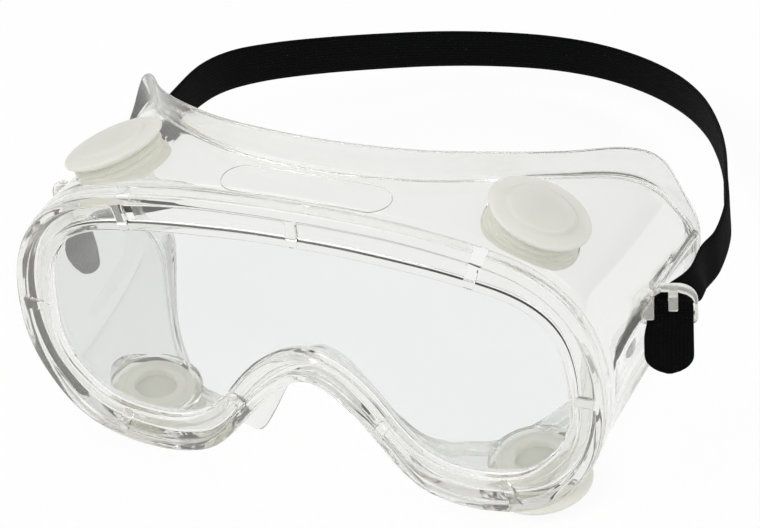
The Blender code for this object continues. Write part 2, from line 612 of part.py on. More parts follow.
CLEAR = make_material("clear_vinyl", colour=(0.86, 0.87, 0.86), roughness=0.25)
LENS = make_material("clear_lens", colour=(0.80, 0.84, 0.86), roughness=0.05)
MILKY = make_material("milky_plastic", colour=(0.80, 0.80, 0.74), roughness=0.45)
CAP = make_material("milky_cap", colour=(0.84, 0.84, 0.79), roughness=0.40)
ELASTIC = make_material("black_elastic", colour=(0.015, 0.016, 0.017), roughness=0.85)

frame_body = build_body()
add_ribs(frame_body)
vents = vent_frames()
for vent_place in vents:
    add_vent_seat(frame_body, *vent_place)
for hand_side in SIDES:
    add_lug(frame_body, *hand_side)
    add_lug_fin(frame_body, *hand_side)

build_lens()
for vent_place in vents:
    build_vent_base(*vent_place)
    build_vent_cap(*vent_place)

whole_line = strap_line()
loop_start = len(threaded_rows()) * STRAP_STEPS     # section where the worn loop begins
build_band(whole_line, loop_start)
for hand_side in SIDES:
    build_tail(whole_line, loop_start, *hand_side)
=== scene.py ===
"""Splash goggles: a clear vinyl frame with a lens, four capped vents and an elastic strap.

The frame is in metres: +Z up, -Y out of the front of the lens, +X to the right seen from behind
the -Y camera side. Lengths are in millimetres and become metres when a mesh is written.
Stage, light and camera places are in metres.
"""

import math
from collections import namedtuple

import bmesh
import bpy
import numpy as np
from mathutils import Matrix, Vector


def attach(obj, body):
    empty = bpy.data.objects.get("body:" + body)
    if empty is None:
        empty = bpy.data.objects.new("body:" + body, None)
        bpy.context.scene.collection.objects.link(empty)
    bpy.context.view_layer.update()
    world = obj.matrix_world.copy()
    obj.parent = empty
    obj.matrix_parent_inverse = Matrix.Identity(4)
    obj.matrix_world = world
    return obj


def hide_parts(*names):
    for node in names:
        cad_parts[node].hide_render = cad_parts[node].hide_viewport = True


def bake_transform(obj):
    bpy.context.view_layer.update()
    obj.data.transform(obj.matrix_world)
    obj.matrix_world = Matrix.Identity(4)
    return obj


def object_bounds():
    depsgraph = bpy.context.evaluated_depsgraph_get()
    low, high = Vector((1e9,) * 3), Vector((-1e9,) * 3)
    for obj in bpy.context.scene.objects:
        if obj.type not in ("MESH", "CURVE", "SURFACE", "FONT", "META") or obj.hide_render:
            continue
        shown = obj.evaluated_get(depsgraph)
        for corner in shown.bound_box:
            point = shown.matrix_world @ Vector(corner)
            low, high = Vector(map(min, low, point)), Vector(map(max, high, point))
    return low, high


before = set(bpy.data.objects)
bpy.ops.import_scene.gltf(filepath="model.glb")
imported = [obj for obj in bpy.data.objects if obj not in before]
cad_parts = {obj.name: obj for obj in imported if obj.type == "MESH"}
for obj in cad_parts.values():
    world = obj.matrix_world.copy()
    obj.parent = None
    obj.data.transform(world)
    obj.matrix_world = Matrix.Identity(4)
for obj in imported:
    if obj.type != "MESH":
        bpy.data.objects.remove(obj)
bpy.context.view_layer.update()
MM = 0.001

# ---- dimensions shared with the CAD part ----------------------------------------------------
LENS_T, LENS_IN_GROOVE, FIT_GAP = 2.0, 3.6, 0.3
BAND_FLOOR = -1.2               # depth of the flat of the bezel
WALL, FLANGE_T = 2.2, 1.5
RECESS, RECESS_Z, RECESS_SPAN = 4.2, -7.0, 15.0     # hollow in each side wall
VENT_RIM_R, VENT_FLANGE_R, VENT_NECK_R, VENT_BORE_R, VENT_STEM_R = 13.6, 10.6, 8.3, 5.8, 2.0
VENT_RIM_T, BOSS_T, BOSS_R, SEAT_T = 5.0, 4.4, 12.6, 2.0
STRAP_W, STRAP_T = 12.7, 1.3
TAIL_LEN = 19.3
# rim centre and outward axis of the vents on the +X side
TOP_VENT = ((57.5, 19.5, 39.0), (0.38, 0.09, 0.92))
LOW_VENT = ((54.6, 18.6, -46.6), (0.10, 0.03, -1.0))
# strap lug on the +X side: centre, direction along its plate, direction out of its front
LUG_CENTRE = Vector((83.6, 38.5, -0.4))
LUG_ALONG = Vector((0.96, 0.28, 0.0)).normalized()
LUG_FRONT = Vector((0.28, -0.96, 0.0)).normalized()
UP = Vector((0.0, 0.0, 1.0))
BACK = Vector((0, 1, 0))

# centre line of the strap (x, y, z), from the +X side round the back to the -X side
STRAP_LOOP = (
    (85.3, 64.0, -4.2), (86.3, 74.0, -5.4), (84.8, 88.5, -6.0), (80.3, 102.5, -7.0),
    (74.6, 121.0, -12.2), (67.2, 140.0, -18.0), (58.0, 158.0, -23.2), (46.4, 173.5, -27.8),
    (32.0, 185.5, -31.4), (16.0, 192.5, -33.4), (0.0, 194.0, -33.9), (-16.0, 190.5, -32.9),
    (-32.0, 183.0, -30.6), (-47.5, 172.5, -27.5), (-61.5, 161.0, -24.1), (-73.0, 149.0, -20.6),
    (-80.2, 136.0, -16.7), (-82.6, 121.0, -12.6), (-82.4, 104.0, -9.6), (-83.2, 88.5, -9.2),
    (-85.3, 75.0, -7.6), (-86.4, 64.0, -5.2))
STRAP_LEAN = (1.6, 1.1, 0.6, -0.3)      # sideways lean across the width, first points of the loop

# Sections round the +X half of the frame, from the top centre to the nose centre:
# outer edge (x, z), lens opening (x, z), crease (x, y, z), crease to flange tip (x, y, z),
# extra thickness of the rear lip
ROWS = (
    ((0.0, 43.3), (0.0, 31.8), (0.0, 19.5, 42.3), (0.0, 1.5, 7.2), 0.3),
    ((13.0, 43.1), (12.5, 31.6), (13.5, 20.3, 42.3), (0.0, 1.5, 7.0), 0.3),
    ((26.0, 42.5), (25.0, 30.8), (27.5, 23.0, 42.0), (0.0, 1.2, 6.8), 0.3),
    ((39.0, 41.0), (37.0, 29.7), (41.6, 30.5, 39.8), (0.2, 0.8, 6.5), 0.3),
    ((50.0, 39.0), (47.0, 28.2), (54.5, 43.5, 33.6), (0.7, 1.2, 6.3), 0.3),
    ((59.0, 36.3), (54.5, 26.6), (65.0, 59.5, 24.6), (1.0, 1.4, 7.6), 0.3),
    ((66.5, 32.0), (60.5, 24.0), (71.6, 67.6, 17.0), (1.4, 0.8, 8.2), 0.4),
    ((72.5, 26.0), (65.0, 20.2), (76.9, 70.5, 9.6), (1.0, 0.6, 4.4), 0.8),
    ((77.0, 18.0), (68.0, 14.8), (81.0, 71.3, 2.6), (0.8, 0.7, 1.4), 1.8),
    ((79.6, 8.0), (69.7, 7.0), (81.6, 70.6, -5.5), (0.6, 0.7, 0.3), 3.0),
    ((80.0, -2.0), (70.1, -2.0), (81.6, 70.0, -12.0), (0.6, 0.7, -0.3), 4.0),
    ((79.0, -11.0), (69.7, -9.5), (81.0, 69.6, -18.5), (0.8, 0.7, -0.5), 4.8),
    ((76.0, -20.5), (67.2, -17.0), (78.3, 69.0, -25.0), (1.6, 0.7, -1.0), 5.0),
    ((70.5, -30.0), (62.5, -23.3), (72.8, 66.5, -31.8), (1.4, 0.7, -1.6), 4.6),
    ((64.0, -36.5), (57.5, -27.5), (65.3, 53.0, -37.2), (1.1, 0.7, -2.0), 3.8),
    ((56.0, -40.2), (51.5, -29.8), (56.8, 38.5, -40.4), (0.8, 0.7, -2.2), 3.0),
    ((48.0, -41.8), (45.5, -30.6), (48.3, 28.0, -42.2), (0.4, 0.7, -2.3), 2.4),
    ((41.0, -42.0), (40.0, -30.5), (41.2, 21.5, -42.2), (0.0, 0.7, -2.3), 2.0),
    ((34.5, -40.8), (35.5, -29.5), (34.4, 18.5, -41.0), (-1.0, 0.7, -3.0), 1.6),
    ((29.0, -38.5), (31.8, -27.8), (28.8, 15.0, -38.4), (-1.8, 0.9, -5.4), 1.2),
    ((23.8, -33.8), (28.0, -25.0), (23.3, 11.5, -33.5), (-2.6, 1.0, -7.6), 0.8),
    ((18.5, -27.0), (23.5, -20.0), (18.0, 9.5, -26.6), (-3.2, 0.9, -4.2), 0.5),
    ((13.5, -20.4), (18.8, -13.4), (13.0, 9.5, -20.0), (-2.4, 0.7, -1.9), 0.4),
    ((9.0, -15.6), (13.6, -7.6), (8.7, 10.0, -15.2), (-1.8, 0.7, -2.2), 0.3),
    ((4.6, -12.0), (7.4, -3.1), (4.5, 10.8, -11.7), (-1.0, 0.7, -2.4), 0.3),
    ((0.0, -10.5), (0.0, -1.0), (0.0, 11.5, -10.2), (0.0, 0.7, -2.5), 0.3),
)
Station = namedtuple("Station", "edge_x edge_z hole_x hole_z crease_x crease_y crease_z "
                                "flange_x flange_y flange_z lip")
MIRROR = Station(-1, 1, -1, 1, -1, 1, 1, -1, 1, 1, 1)
CREASE, FLANGE = slice(4, 7), slice(7, 10)

# ---- dimensions of the looks alone ----------------------------------------------------------
STEPS = 6                   # stations per row
FINE_STEPS = 12             # stations per row when a place on the band is looked up
SEG = 96                    # segments round a vent
WALL_FRONT_Y = 5.0          # where the outer wall starts behind the bezel
REAR_LIP_INSET = 0.6        # the lip behind the lens stops this far outside the opening
SEAT_EASE = 0.05            # between a top vent's seat and the wall
WELL_R = 12.2               # hollow behind a bottom vent's boss
CORD_PITCH, LOOP_PITCH = 1.05, 0.62     # knit of the elastic, across and along


# ---- shader helpers -------------------------------------------------------------------------
def new_material(name):
    """A material with an empty tree, that tree, and the socket its surface goes to."""
    material = bpy.data.materials.new(name)
    material.use_nodes = True
    tree = material.node_tree
    tree.nodes.clear()
    output = tree.nodes.new("ShaderNodeOutputMaterial")
    return material, tree, output.inputs["Surface"]


def plug(tree, socket, value):
    """Links a socket to an input, or sets the input to a plain value."""
    if isinstance(value, bpy.types.NodeSocket):
        tree.links.new(value, socket)
    else:
        socket.default_value = value


def node(tree, kind, **inputs):
    """Adds a node, with _ for spaces in its input names, and returns its first output."""
    made = tree.nodes.new(kind)
    for key, value in inputs.items():
        plug(tree, made.inputs[key.replace("_", " ")], value)
    return made.outputs[0]


def math_node(tree, operation, first, second=0.0, third=0.0, clamp=False):
    made = tree.nodes.new("ShaderNodeMath")
    made.operation = operation
    made.use_clamp = clamp
    for socket, value in zip(made.inputs, (first, second, third)):
        plug(tree, socket, value)
    return made.outputs[0]


def mix_shader(tree, factor, first, second):
    made = tree.nodes.new("ShaderNodeMixShader")
    for socket, value in zip(made.inputs, (factor, first, second)):
        plug(tree, socket, value)
    return made.outputs[0]


def ramp(tree, factor, stops):
    """Colour ramp from (position, rgb) stops."""
    made = tree.nodes.new("ShaderNodeValToRGB")
    while len(made.color_ramp.elements) < len(stops):
        made.color_ramp.elements.new(0.5)
    for element, (position, colour) in zip(made.color_ramp.elements, stops):
        element.position = position
        element.color = (*colour, 1.0)
    tree.links.new(factor, made.inputs[0])
    return made.outputs[0]


def object_noise(tree, scale, detail, roughness=0.5):
    place = tree.nodes.new("ShaderNodeTexCoord").outputs["Object"]
    return node(tree, "ShaderNodeTexNoise",
                Scale=scale, Detail=detail, Roughness=roughness, Vector=place)


def bump(tree, height, strength, distance):
    return node(tree, "ShaderNodeBump", Strength=strength, Distance=distance, Height=height)


# ---- materials ------------------------------------------------------------------------------
def clear_material(name, tint, rough_low, rough_high, bump_strength, shadow, haze, haze_colour):
    """Clear moulded plastic with a little milk in it. It lets most light through its shadow."""
    material, tree, surface = new_material(name)
    fine = object_noise(tree, scale=90.0, detail=3.0)
    broad = object_noise(tree, scale=22.0, detail=2.0)
    lighter = tuple(min(1.0, channel * 1.015) for channel in tint)
    plastic = node(
        tree, "ShaderNodeBsdfPrincipled",
        Base_Color=ramp(tree, broad, ((0.3, tint), (0.75, lighter))),
        Roughness=math_node(tree, "MULTIPLY_ADD", fine, rough_high - rough_low, rough_low),
        IOR=1.49,
        Transmission_Weight=1.0,
        Normal=bump(tree, object_noise(tree, scale=160.0, detail=1.0),
                    strength=bump_strength, distance=0.0004))
    milk = node(tree, "ShaderNodeBsdfDiffuse", Color=(*haze_colour, 1.0))
    body = mix_shader(tree, haze, plastic, milk)
    clear = node(tree, "ShaderNodeBsdfTransparent", Color=(*shadow, 1.0))
    shadow_ray = tree.nodes.new("ShaderNodeLightPath").outputs["Is Shadow Ray"]
    tree.links.new(mix_shader(tree, shadow_ray, body, clear), surface)
    return material


def milky_material(name, base, warm, rough, glow):
    """Milky translucent plastic with faint flow marks and a fine moulded surface."""
    material, tree, surface = new_material(name)
    flow = object_noise(tree, scale=70.0, detail=3.0)
    colour = ramp(tree, flow, ((0.3, base), (0.7, warm)))
    fine = object_noise(tree, scale=500.0, detail=3.0, roughness=0.6)
    rough_spread = 0.18
    plastic = node(
        tree, "ShaderNodeBsdfPrincipled",
        Base_Color=colour,
        Roughness=math_node(tree, "MULTIPLY_ADD", fine, rough_spread, rough - rough_spread / 2),
        IOR=1.5,
        Subsurface_Weight=0.55,
        Subsurface_Radius=(1.0, 0.95, 0.8),
        Subsurface_Scale=0.0022,
        Normal=bump(tree, fine, strength=0.10, distance=0.0003))
    through = node(tree, "ShaderNodeBsdfTranslucent", Color=colour)
    tree.links.new(mix_shader(tree, glow, plastic, through), surface)
    return material


def elastic_material(name):
    """Black knitted elastic: rows of small loops between lengthwise cords, with painted shade in
    the knit's hollows and painted light on its crests.

    The mesh attributes along and across are in millimetres.
    """
    material, tree, surface = new_material(name)

    def attribute(key):
        made = tree.nodes.new("ShaderNodeAttribute")
        made.attribute_name = key
        return made.outputs["Fac"]

    def maths(*args, **options):
        return math_node(tree, *args, **options)

    along, across = attribute("along"), attribute("across")
    cord = maths("COSINE", maths("MULTIPLY", across, 2 * math.pi / CORD_PITCH))
    # the loops lean back and forth between the cords
    lean = maths("ABSOLUTE", maths("SINE", maths("MULTIPLY", across, math.pi / CORD_PITCH)))
    leaning = maths("MULTIPLY_ADD", lean, 0.28, along)
    loops = maths("COSINE", maths("MULTIPLY", leaning, 2 * math.pi / LOOP_PITCH))
    weave = maths("MULTIPLY_ADD", loops, 0.5, maths("MULTIPLY", cord, 0.35))
    fuzz = object_noise(tree, scale=2600.0, detail=2.0, roughness=0.7)
    height = maths("MULTIPLY_ADD", fuzz, 0.5, weave)
    level = maths("MULTIPLY_ADD", height, 0.35, 0.45, clamp=True)
    # base colour follows the weave height: painted shade in the low places between loops and
    # cords, painted light on their tops; the fuzz adds random tone
    knit = node(
        tree, "ShaderNodeBsdfPrincipled",
        Base_Color=ramp(tree, level, ((0.0, (0.0008, 0.0009, 0.0010)),
                                      (0.55, (0.0022, 0.0023, 0.0025)),
                                      (1.0, (0.0065, 0.0067, 0.0072)))),
        Roughness=maths("MULTIPLY_ADD", level, -0.15, 0.92),
        Specular_IOR_Level=0.05,
        Normal=bump(tree, height, strength=0.6, distance=0.00025))
    tree.links.new(knit, surface)
    return material


def contact_material(name):
    """For faces in optical contact with another clear piece: light goes straight through."""
    material, tree, surface = new_material(name)
    clear = node(tree, "ShaderNodeBsdfTransparent", Color=(1.0, 1.0, 1.0, 1.0))
    tree.links.new(clear, surface)
    return material


VINYL = clear_material(
    "clear_soft_vinyl", tint=(0.850, 0.853, 0.838), rough_low=0.01, rough_high=0.035,
    bump_strength=0.04, shadow=(0.97, 0.97, 0.965), haze=0.045, haze_colour=(0.80, 0.79, 0.73))
LUG = clear_material(
    "clear_vinyl_lugs", tint=(0.90, 0.90, 0.885), rough_low=0.05, rough_high=0.10,
    bump_strength=0.06, shadow=(0.97, 0.97, 0.965), haze=0.24, haze_colour=(0.86, 0.855, 0.80))
PANE = clear_material(
    "clear_lens_sheet", tint=(0.848, 0.858, 0.856), rough_low=0.0, rough_high=0.02,
    bump_strength=0.01, shadow=(0.985, 0.985, 0.985), haze=0.0, haze_colour=(0.8, 0.8, 0.8))
BASE = milky_material("milky_vent_base", base=(0.90, 0.90, 0.855), warm=(0.925, 0.92, 0.87),
                      rough=0.42, glow=0.62)
CAP = milky_material("milky_vent_cap", base=(0.83, 0.83, 0.785), warm=(0.865, 0.865, 0.82),
                     rough=0.36, glow=0.36)
ELASTIC = elastic_material("black_knitted_elastic")
CONTACT = contact_material("optical_contact")


# ---- mesh helpers ---------------------------------------------------------------------------
def soften(mesh, angle):
    """Smooth shading, with edges sharper than the angle in degrees kept sharp."""
    mesh.shade_smooth()
    mesh.set_sharp_from_angle(angle=math.radians(angle))


def mesh_object(name, verts, faces, material=None, smooth=None):
    mesh = bpy.data.meshes.new(name)
    bm = bmesh.new()
    made = [bm.verts.new(Vector(v) * MM) for v in verts]
    for face in faces:
        bm.faces.new([made[i] for i in face])
    bmesh.ops.recalc_face_normals(bm, faces=bm.faces[:])
    if bm.calc_volume(signed=True) < 0:
        bmesh.ops.reverse_faces(bm, faces=bm.faces[:])
    bm.to_mesh(mesh)
    bm.free()
    obj = bpy.data.objects.new(name, mesh)
    bpy.context.scene.collection.objects.link(obj)
    if material:
        mesh.materials.append(material)
    if smooth is not None:
        soften(mesh, smooth)
    return obj


def bake(obj):
    """Replaces the mesh by its modified form."""
    graph = bpy.context.evaluated_depsgraph_get()
    mesh = bpy.data.meshes.new_from_object(obj.evaluated_get(graph), depsgraph=graph)
    old = obj.data
    obj.modifiers.clear()
    obj.data = mesh
    bpy.data.meshes.remove(old)


def cut(target, cutter, operation):
    """Applies a Boolean with the cutter straight away and removes the cutter."""
    modifier = target.modifiers.new("cut", "BOOLEAN")
    modifier.operation, modifier.solver, modifier.object = operation, "MANIFOLD", cutter
    bake(target)
    mesh = cutter.data
    bpy.data.objects.remove(cutter)
    bpy.data.meshes.remove(mesh)


def round_path(points, closed=True):
    """Points (vector, radius, segments) turned to a path with rounded corners."""
    count, path = len(points), []
    for i, (corner, radius, segments) in enumerate(points):
        if radius <= 0 or (not closed and i in (0, count - 1)):
            path.append(Vector(corner))
            continue
        before = Vector(points[i - 1][0]) - corner
        after = Vector(points[(i + 1) % count][0]) - corner
        start = corner + before.normalized() * min(radius, 0.48 * before.length)
        end = corner + after.normalized() * min(radius, 0.48 * after.length)
        for k in range(segments + 1):
            t = k / segments
            path.append(start * (1 - t) ** 2 + corner * (2 * t * (1 - t)) + end * t * t)
    return path


def catmull(p0, p1, p2, p3, t):
    return tuple(
        0.5 * (2 * b + (c - a) * t + (2 * a - 5 * b + 4 * c - d) * t * t
               + (3 * b - a - 3 * c + d) * t ** 3)
        for a, b, c, d in zip(p0, p1, p2, p3)
    )


def ring_faces(rings, count, closed=True):
    """Quads between successive rings of count points."""
    return [(i * count + j, i * count + (j + 1) % count,
             ((i + 1) % rings) * count + (j + 1) % count, ((i + 1) % rings) * count + j)
            for i in range(rings if closed else rings - 1) for j in range(count)]


def end_caps(rings, count):
    """Faces that close the first and the last ring."""
    return [tuple(range(count)), tuple(range(rings * count - 1, (rings - 1) * count - 1, -1))]


def frame_of(axis):
    """Matrix that turns Z onto the axis. The axis mustn't lie along Y."""
    z = Vector(axis).normalized()
    x = BACK.cross(z).normalized()
    return Matrix((x, z.cross(x), z)).transposed()


def lathe(name, profile, origin, axis, seg=SEG, material=None):
    """Turned solid from (radius, height[, corner radius]) points, radius 0 on the axis."""
    points = [(Vector((p[0], 0, p[1])), p[2] if len(p) > 2 else 0.0, 4) for p in profile]
    closed = all(p[0] > 1e-6 for p in profile)
    path = [(v.x, v.z) for v in round_path(points, closed)]
    turn = frame_of(axis)
    verts, rings = [], []
    for radius, height in path:
        if radius < 1e-6:
            rings.append([len(verts)] * seg)
            verts.append(origin + turn @ Vector((0, 0, height)))
            continue
        rings.append(list(range(len(verts), len(verts) + seg)))
        for k in range(seg):
            angle = 2 * math.pi * k / seg
            spoke = Vector((radius * math.cos(angle), radius * math.sin(angle), height))
            verts.append(origin + turn @ spoke)
    faces = []
    for i in range(len(path) if closed else len(path) - 1):
        low, high = rings[i], rings[(i + 1) % len(path)]
        for k in range(seg):
            after = (k + 1) % seg
            face = list(dict.fromkeys((low[k], low[after], high[after], high[k])))
            if len(face) > 2:
                faces.append(face)
    return mesh_object(name, verts, faces, material, smooth=45)


def disc(radius, low, high, corner=0.0):
    """Lathe profile of a solid disc."""
    return [(0, low), (radius, low, corner), (radius, high, corner), (0, high)]


def turned_cut(target, profile, origin, axis, operation, seg=SEG):
    cut(target, lathe("cutter", profile, origin, axis, seg), operation)


def slab(outline, depth0, depth1, origin, axes, round_edges=0.0):
    """Prism with its outline along the first two axes and its depth along the third."""
    across, upward, inward = axes
    verts = [origin + across * a + upward * b + inward * depth
             for depth in (depth0, depth1) for a, b in outline]
    count = len(outline)
    obj = mesh_object("cutter", verts, end_caps(2, count) + ring_faces(2, count, closed=False))
    if round_edges:
        modifier = obj.modifiers.new("round", "BEVEL")
        modifier.width, modifier.segments = round_edges * MM, 3
        modifier.limit_method, modifier.angle_limit = "ANGLE", math.radians(30)
        bake(obj)
    return obj


def mirror_x(point, side):
    return Vector((point[0] * side, point[1], point[2]))


def arc(centre_x, centre_y, radius, start, end, count):
    angles = [math.radians(start + (end - start) * k / count) for k in range(count + 1)]
    return [(centre_x + radius * math.cos(a), centre_y + radius * math.sin(a)) for a in angles]


# ---- stations round the frame ---------------------------------------------------------------
def stations(steps):
    """The rows and their mirror as a closed loop, with steps stations from row to row."""
    half = [(*edge, *hole, *crease, *flange, lip) for edge, hole, crease, flange, lip in ROWS]
    loop = half + [tuple(v * s for v, s in zip(row, MIRROR)) for row in half[-2:0:-1]]
    count = len(loop)
    return [Station(*catmull(loop[i - 1], loop[i], loop[(i + 1) % count],
                             loop[(i + 2) % count], k / steps))
            for i in range(count) for k in range(steps)]


def band_of(row):
    """Outer edge, opening and the direction from the one to the other."""
    edge, hole = Vector((row.edge_x, 0, row.edge_z)), Vector((row.hole_x, 0, row.hole_z))
    return edge, hole, (hole - edge).normalized()


FINE_LOOP = stations(FINE_STEPS)


def band_at(x, z):
    """Edge point, direction to the opening, width and direction along the band near (x, z)."""
    near = min(range(len(FINE_LOOP)),
               key=lambda i: (FINE_LOOP[i].edge_x - x) ** 2 + (FINE_LOOP[i].edge_z - z) ** 2)
    row, after = FINE_LOOP[near], FINE_LOOP[(near + 1) % len(FINE_LOOP)]
    edge, hole, inward = band_of(row)
    along = Vector((after.edge_x - row.edge_x, 0, after.edge_z - row.edge_z))
    return edge, inward, (hole - edge).length, (along - inward * along.dot(inward)).normalized()


# ---- frame shell ----------------------------------------------------------------------------
GROOVE_STRIPS = (34, 35, 36, 37)    # faces of a section that line the lens groove
RIM_FRONT, INNER_RIM_FRONT = -2.35, -2.1


def section(rows, i):
    """Closed section of the shell at station i."""
    row = rows[i]
    edge, hole, inward = band_of(row)
    width = (hole - edge).length
    crease, flange = Vector(row[CREASE]), Vector(row[FLANGE])
    tangent = Vector(rows[(i + 1) % len(rows)][CREASE]) - Vector(rows[i - 1][CREASE])
    rear_in = Vector((tangent.z, 0.0, -tangent.x)).normalized()
    if rear_in.dot(inward) < 0:
        rear_in = -rear_in

    def at(distance, depth):
        return edge + inward * distance + BACK * depth

    wall_front, inner_front = at(0.0, WALL_FRONT_Y), at(WALL + 0.6, 6.0)
    inner_rear = crease + rear_in * WALL - BACK * 1.2
    recess = 0.0
    if abs(row.edge_x) > 60:
        recess = RECESS * math.exp(-((row.edge_z - RECESS_Z) / RECESS_SPAN) ** 4)
    hollow = [(t, recess * max(0.0, 1 - ((t - 0.47) / 0.5) ** 2))
              for t in (0.08, 0.2, 0.32, 0.44, 0.56, 0.68, 0.80, 0.92)]
    lip = WALL + row.lip
    groove_floor = width - LENS_IN_GROOVE - FIT_GAP
    rear_lip = width - REAR_LIP_INSET
    tip = FLANGE_T * 0.37
    # point, corner radius, corner segments
    return round_path([
        # outer rim, flat of the bezel and inner rim
        (at(0.0, 1.5), 0.8, 1),
        (at(0.0, RIM_FRONT), 1.7, 6), (at(3.15, RIM_FRONT), 1.2, 5),
        (at(3.45, BAND_FLOOR), 0.6, 3), (at(width - 3.0, BAND_FLOOR), 0.6, 3),
        (at(width - 2.5, INNER_RIM_FRONT), 0.6, 4), (at(width - 0.05, INNER_RIM_FRONT), 1.0, 5),
        # lens groove
        (at(width, -FIT_GAP), 0.15, 1), (at(groove_floor, -FIT_GAP), 0, 0),
        (at(groove_floor, LENS_T + FIT_GAP), 0, 0), (at(rear_lip, LENS_T + FIT_GAP), 0.3, 2),
        (at(rear_lip, 3.6), 0.5, 3), (at(WALL + 1.6, 4.4), 1.0, 3),
        # inside of the wall
        (inner_front, 1.2, 3),
        *((inner_front.lerp(inner_rear, t) + inward * d, 0, 0) for t, d in hollow),
        (inner_rear, 1.2, 3),
        # rear lip and flange
        (crease + rear_in * lip - BACK * 0.4, 0.5, 3),
        (crease + rear_in * lip + BACK * 0.8, 0.5, 3),
        (crease + BACK * FLANGE_T + rear_in * 0.4, 1.2, 3),
        (crease + flange + BACK * tip, 0.5, 4), (crease + flange - BACK * tip, 0.5, 4),
        (crease - BACK * 0.2, 1.5, 4),
        # outside of the wall
        *((wall_front.lerp(crease, t) + inward * d, 0, 0) for t, d in hollow[::-1]),
        (wall_front, 1.0, 2),
    ])


def plain_shell():
    rows = stations(STEPS)
    sections = [section(rows, i) for i in range(len(rows))]
    count = len(sections[0])
    verts = [point for path in sections for point in path]
    obj = mesh_object("frame_shell", verts, ring_faces(len(rows), count), VINYL)
    obj.data.materials.append(CONTACT)
    obj.data.materials.append(LUG)
    for polygon in obj.data.polygons:
        if polygon.index % count in GROOVE_STRIPS:
            polygon.material_index = 1
    return obj


# places on the outer edge (x, z)
RIBS = ((0.0, 43.0), (48.0, 39.4), (-48.0, 39.4), (80.0, 0.0), (-80.0, 0.0),
        (56.0, -40.2), (-56.0, -40.2), (16.6, -24.5), (-16.6, -24.5))
PIN_MARKS = ((44.0, 40.2), (-79.9, -3.4), (79.9, -3.4))
# rib section: share of the half width, depth
RIB_SECTION = ((-1.0, -0.7), (-0.98, -2.1), (-0.84, -2.3), (0.84, -2.3), (0.98, -2.1), (1.0, -0.7))
RIB_CUTS, RIB_START, RIB_SHORT = 22, 1.9, 2.35
RIB_HALF, RIB_FLARE, RIB_FLARE_SHARE, RIB_END_R = 1.55, 1.1, 0.13, 1.3


def add_ribs(shell):
    """Raised ribs across the bezel, flared at the outer end and rounded at the inner one."""
    for place in RIBS:
        edge, inward, width, along = band_at(*place)
        length = width - RIB_SHORT
        verts = []
        for i in range(RIB_CUTS + 1):
            t = i / RIB_CUTS
            half = RIB_HALF + RIB_FLARE * math.exp(-((t / RIB_FLARE_SHARE) ** 2))
            left = (1 - t) * length
            half *= math.sqrt(max(0.04, 1 - (1 - min(left, RIB_END_R) / RIB_END_R) ** 2))
            for share, depth in RIB_SECTION:
                verts.append(edge + inward * (RIB_START + length * t) + along * share * half
                             + Vector((0, depth, 0)))
        rings, count = RIB_CUTS + 1, len(RIB_SECTION)
        faces = ring_faces(rings, count, closed=False) + end_caps(rings, count)
        cut(shell, mesh_object("cutter", verts, faces), "UNION")


def add_pin_marks(shell):
    """Low discs on the flat of the bezel. frame_of can't turn onto -Y: they shrink to lines."""
    profile = [(0, 0.4), (1.5, 0.4), (1.5, 1.42, 0.08), (0, 1.42)]
    for place in PIN_MARKS:
        edge, inward, width, _ = band_at(*place)
        turned_cut(shell, profile, edge + inward * (width * 0.52), (0, -1, 0), "UNION", seg=32)


def add_brow_outline(shell):
    """Raised outline of a plain oblong panel on the brow wall."""
    top = [row for row in FINE_LOOP if row.edge_z > 38]
    count, wire_sides, wire_r = 96, 6, 0.17

    def brow_point(x, y):
        row = min(top, key=lambda r: abs(r.edge_x - x))
        t = (y - WALL_FRONT_Y) / (row.crease_y - WALL_FRONT_Y)
        return Vector((x, y, row.edge_z + (row.crease_z - row.edge_z) * t))

    path = []
    for k in range(count):
        angle = 2 * math.pi * k / count
        straight = max(-1.0, min(1.0, math.cos(angle) * 3.0))
        path.append(brow_point(0.2 + 16.0 * straight + 6.4 * math.cos(angle),
                               9.0 + 6.2 * math.sin(angle)))
    verts = []
    for k, point in enumerate(path):
        run = (path[(k + 1) % count] - path[k - 1]).normalized()
        across = run.cross(UP).normalized()
        outward = across.cross(run)
        for j in range(wire_sides):
            angle = math.pi * j / 3
            verts.append(point + across * (wire_r * math.cos(angle))
                         + outward * (wire_r * math.sin(angle)))
    cut(shell, mesh_object("cutter", verts, ring_faces(count, wire_sides)), "UNION")


def vent_frame(spec, side):
    """Origin on the seat plane and outward axis of a vent."""
    rim, axis = mirror_x(spec[0], side), mirror_x(spec[1], side).normalized()
    return rim - axis * VENT_RIM_T, axis


VENTS = [(f"{level}_{hand}", *vent_frame(spec, side))
         for level, spec in (("top", TOP_VENT), ("bottom", LOW_VENT))
         for hand, side in (("left", -1), ("right", 1))]


def cut_vent_seats(shell):
    overlap = 0.07
    top_cuts = (("DIFFERENCE", disc(BOSS_R + SEAT_EASE, -12, 9)),)     # the seat fills this hole
    bottom_cuts = (
        ("DIFFERENCE", disc(12.3, -overlap, 9)),                    # outside of the boss
        ("DIFFERENCE", disc(WELL_R, -12, overlap - BOSS_T)),        # hollow behind it
        ("UNION", disc(BOSS_R, -BOSS_T, 0, corner=0.6)),
        ("DIFFERENCE", disc(VENT_FLANGE_R + 0.35, -14, -SEAT_T)),
        ("DIFFERENCE", disc(VENT_NECK_R + FIT_GAP, -14, 10)),
    )
    for name, origin, axis in VENTS:
        for operation, profile in top_cuts if name.startswith("top") else bottom_cuts:
            turned_cut(shell, profile, origin, axis, operation)


